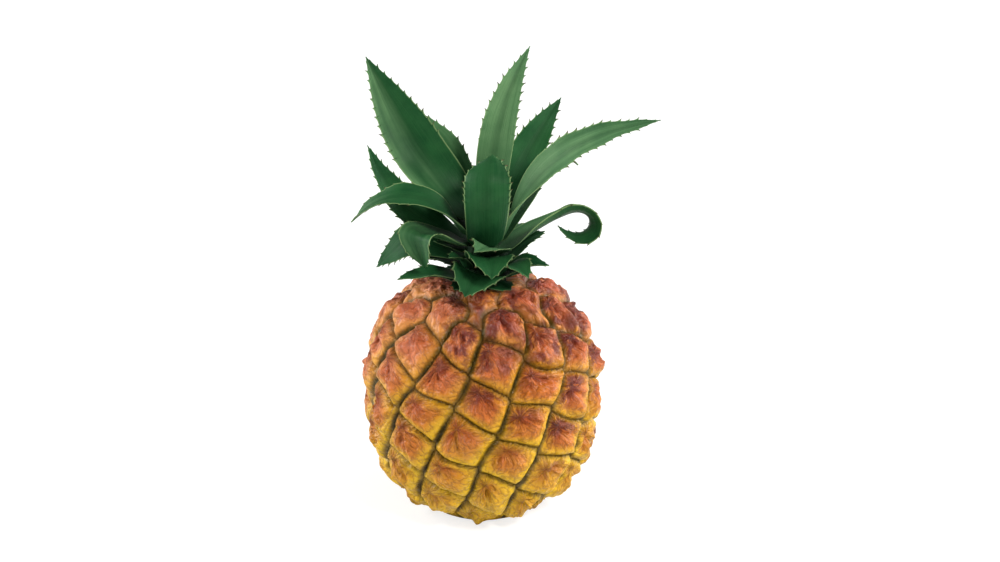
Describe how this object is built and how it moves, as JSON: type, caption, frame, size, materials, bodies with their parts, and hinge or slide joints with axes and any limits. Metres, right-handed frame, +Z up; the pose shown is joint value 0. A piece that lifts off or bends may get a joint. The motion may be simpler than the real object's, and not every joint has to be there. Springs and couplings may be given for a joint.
{
  "type": "fruit-shaped shaker",
  "caption": "Hand-held percussion shaker shaped like a pineapple: hollow moulded fruit with rattling beads and a crown of separate springy leaves.",
  "frame": {"origin": "middle of the flat base, on the fruit's axis", "axes": "+Z up along the fruit's axis, -Y towards the viewer of the picture, +X to the viewer's right"},
  "size_m": [0.1394, 0.1123, 0.2161],
  "materials": {
    "fruit_skin": "satin, shaded from red at the top to yellow at the base",
    "plug_plastic": "matte",
    "core_plastic": "matte",
    "leaf_plastic": "satin",
    "bead_steel": "plain"
  },
  "bodies": {
    "fruit": {"fruit_shell": "fruit_skin", "crown_plug": "plug_plastic", "crown_core": "core_plastic"},
    "leaf_left_tall": {"leaf_left_tall": "leaf_plastic"},
    "leaf_back_left_recurved": {"leaf_back_left_recurved": "leaf_plastic"},
    "leaf_centre_tall": {"leaf_centre_tall": "leaf_plastic"},
    "leaf_right_upright": {"leaf_right_upright": "leaf_plastic"},
    "leaf_right_long": {"leaf_right_long": "leaf_plastic"},
    "leaf_left_arch": {"leaf_left_arch": "leaf_plastic"},
    "leaf_left_slim": {"leaf_left_slim": "leaf_plastic"},
    "leaf_left_folded": {"leaf_left_folded": "leaf_plastic"},
    "leaf_front_broad": {"leaf_front_broad": "leaf_plastic"},
    "leaf_left_droop": {"leaf_left_droop": "leaf_plastic"},
    "leaf_left_low": {"leaf_left_low": "leaf_plastic"},
    "leaf_right_curl": {"leaf_right_curl": "leaf_plastic"},
    "leaf_front_small": {"leaf_front_small": "leaf_plastic"},
    "leaf_front_low": {"leaf_front_low": "leaf_plastic"},
    "leaf_front_mid": {"leaf_front_mid": "leaf_plastic"},
    "leaf_front_right_low": {"leaf_front_right_low": "leaf_plastic"},
    "leaf_right_low": {"leaf_right_low": "leaf_plastic"},
    "leaf_front_left_low": {"leaf_front_left_low": "leaf_plastic"},
    "leaf_right_short": {"leaf_right_short": "leaf_plastic"},
    "leaf_back_right_hooked": {"leaf_back_right_hooked": "leaf_plastic"},
    "leaf_back_low": {"leaf_back_low": "leaf_plastic"},
    "leaf_back_left_low": {"leaf_back_left_low": "leaf_plastic"},
    "rattle_bead_1": {"rattle_bead_1": "bead_steel"},
    "rattle_bead_2": {"rattle_bead_2": "bead_steel"},
    "rattle_bead_3": {"rattle_bead_3": "bead_steel"},
    "rattle_bead_4": {"rattle_bead_4": "bead_steel"},
    "rattle_bead_5": {"rattle_bead_5": "bead_steel"},
    "rattle_bead_6": {"rattle_bead_6": "bead_steel"}
  },
  "joints": [
    {"name": "flex_left_tall", "type": "hinge", "parent": "fruit", "child": "leaf_left_tall", "pos_m": [-0.00382, 0.00344, 0.1416], "axis": [-0.6691, -0.7431, 0], "range_deg": [-0.5, 1.5], "stiffness_Nm_per_rad": 0.05},
    {"name": "flex_back_left_recurved", "type": "hinge", "parent": "fruit", "child": "leaf_back_left_recurved", "pos_m": [-0.00218, 0.0049, 0.1351], "axis": [-0.9135, -0.4067, 0], "range_deg": [-0.5, 6], "stiffness_Nm_per_rad": 0.05},
    {"name": "flex_centre_tall", "type": "hinge", "parent": "fruit", "child": "leaf_centre_tall", "pos_m": [0.00252, 0.00436, 0.1451], "axis": [-0.866, 0.5, 0], "range_deg": [-2.5, 6], "stiffness_Nm_per_rad": 0.05},
    {"name": "flex_right_upright", "type": "hinge", "parent": "fruit", "child": "leaf_right_upright", "pos_m": [0.00356, 0.00369, 0.1421], "axis": [-0.7193, 0.6947, 0], "range_deg": [-2.5, 2.5], "stiffness_Nm_per_rad": 0.05},
    {"name": "flex_right_long", "type": "hinge", "parent": "fruit", "child": "leaf_right_long", "pos_m": [0.00505, -0.00174, 0.1356], "axis": [0.3256, 0.9455, 0], "range_deg": [-1.5, 1.5], "stiffness_Nm_per_rad": 0.05},
    {"name": "flex_left_arch", "type": "hinge", "parent": "fruit", "child": "leaf_left_arch", "pos_m": [-0.00474, -0.00231, 0.1376], "axis": [0.4384, -0.8988, 0], "range_deg": [-0.5, 1.5], "stiffness_Nm_per_rad": 0.05},
    {"name": "flex_left_slim", "type": "hinge", "parent": "fruit", "child": "leaf_left_slim", "pos_m": [-0.00525, 0.00171, 0.1302], "axis": [-0.309, -0.9511, 0], "range_deg": [-1.5, 1.5], "stiffness_Nm_per_rad": 0.05},
    {"name": "flex_left_folded", "type": "hinge", "parent": "fruit", "child": "leaf_left_folded", "pos_m": [-0.00518, -0.00168, 0.1326], "axis": [0.309, -0.9511, 0], "range_deg": [-4, 2.5], "stiffness_Nm_per_rad": 0.05},
    {"name": "flex_front_broad", "type": "hinge", "parent": "fruit", "child": "leaf_front_broad", "pos_m": [0.00076, -0.0054, 0.1324], "axis": [0.9903, 0.1392, 0], "range_deg": [-0.5, 2.5], "stiffness_Nm_per_rad": 0.05},
    {"name": "flex_left_droop", "type": "hinge", "parent": "fruit", "child": "leaf_left_droop", "pos_m": [-0.00565, 0.00089, 0.1242], "axis": [-0.1564, -0.9877, 0], "range_deg": [-0.5, 6], "stiffness_Nm_per_rad": 0.05},
    {"name": "flex_left_low", "type": "hinge", "parent": "fruit", "child": "leaf_left_low", "pos_m": [-0.00555, -0.00224, 0.1161], "axis": [0.3746, -0.9272, 0], "range_deg": [-4, 6], "stiffness_Nm_per_rad": 0.05},
    {"name": "flex_right_curl", "type": "hinge", "parent": "fruit", "child": "leaf_right_curl", "pos_m": [0.00528, 0.00192, 0.1271], "axis": [-0.342, 0.9397, 0], "range_deg": [-4, 1.5], "stiffness_Nm_per_rad": 0.05},
    {"name": "flex_front_small", "type": "hinge", "parent": "fruit", "child": "leaf_front_small", "pos_m": [0.00236, -0.00506, 0.1284], "axis": [0.9063, 0.4226, 0], "range_deg": [-4, 2.5], "stiffness_Nm_per_rad": 0.05},
    {"name": "flex_front_low", "type": "hinge", "parent": "fruit", "child": "leaf_front_low", "pos_m": [0, -0.00602, 0.1151], "axis": [1, 0, 0], "range_deg": [-1.5, 6], "stiffness_Nm_per_rad": 0.05},
    {"name": "flex_front_mid", "type": "hinge", "parent": "fruit", "child": "leaf_front_mid", "pos_m": [0.00089, -0.00565, 0.1242], "axis": [0.9877, 0.1564, 0], "range_deg": [-2.5, 1.5], "stiffness_Nm_per_rad": 0.05},
    {"name": "flex_front_right_low", "type": "hinge", "parent": "fruit", "child": "leaf_front_right_low", "pos_m": [0.00373, -0.0046, 0.118], "axis": [0.7771, 0.6293, 0], "range_deg": [-0.5, 6], "stiffness_Nm_per_rad": 0.05},
    {"name": "flex_right_low", "type": "hinge", "parent": "fruit", "child": "leaf_right_low", "pos_m": [0.00596, -0.00084, 0.1151], "axis": [0.1392, 0.9903, 0], "range_deg": [-4, 6], "stiffness_Nm_per_rad": 0.05},
    {"name": "flex_front_left_low", "type": "hinge", "parent": "fruit", "child": "leaf_front_left_low", "pos_m": [-0.0041, -0.0041, 0.1216], "axis": [0.7071, -0.7071, 0], "range_deg": [-1.5, 1.5], "stiffness_Nm_per_rad": 0.05},
    {"name": "flex_right_short", "type": "hinge", "parent": "fruit", "child": "leaf_right_short", "pos_m": [0.00546, 0.0021, 0.1201], "axis": [-0.3584, 0.9336, 0], "range_deg": [-2.5, 1.5], "stiffness_Nm_per_rad": 0.05},
    {"name": "flex_back_right_hooked", "type": "hinge", "parent": "fruit", "child": "leaf_back_right_hooked", "pos_m": [0.00421, 0.00353, 0.1311], "axis": [-0.6428, 0.766, 0], "range_deg": [-2.5, 6], "stiffness_Nm_per_rad": 0.05},
    {"name": "flex_back_low", "type": "hinge", "parent": "fruit", "child": "leaf_back_low", "pos_m": [0.00206, 0.00565, 0.1151], "axis": [-0.9397, 0.342, 0], "range_deg": [-2.5, 6], "stiffness_Nm_per_rad": 0.05},
    {"name": "flex_back_left_low", "type": "hinge", "parent": "fruit", "child": "leaf_back_left_low", "pos_m": [-0.0021, 0.00546, 0.1201], "axis": [-0.9336, -0.3584, 0], "range_deg": [-4, 2.5], "stiffness_Nm_per_rad": 0.05},
    {"name": "rattle_1", "type": "slide", "parent": "fruit", "child": "rattle_bead_1", "axis": [0, 0, 1], "range_m": [0, 0.087]},
    {"name": "rattle_2", "type": "slide", "parent": "fruit", "child": "rattle_bead_2", "axis": [0, 0, 1], "range_m": [0, 0.087]},
    {"name": "rattle_3", "type": "slide", "parent": "fruit", "child": "rattle_bead_3", "axis": [0, 0, 1], "range_m": [0, 0.087]},
    {"name": "rattle_4", "type": "slide", "parent": "fruit", "child": "rattle_bead_4", "axis": [0, 0, 1], "range_m": [0, 0.087]},
    {"name": "rattle_5", "type": "slide", "parent": "fruit", "child": "rattle_bead_5", "axis": [0, 0, 1], "range_m": [0, 0.087]},
    {"name": "rattle_6", "type": "slide", "parent": "fruit", "child": "rattle_bead_6", "axis": [0, 0, 1], "range_m": [0, 0.087]}
  ]
}
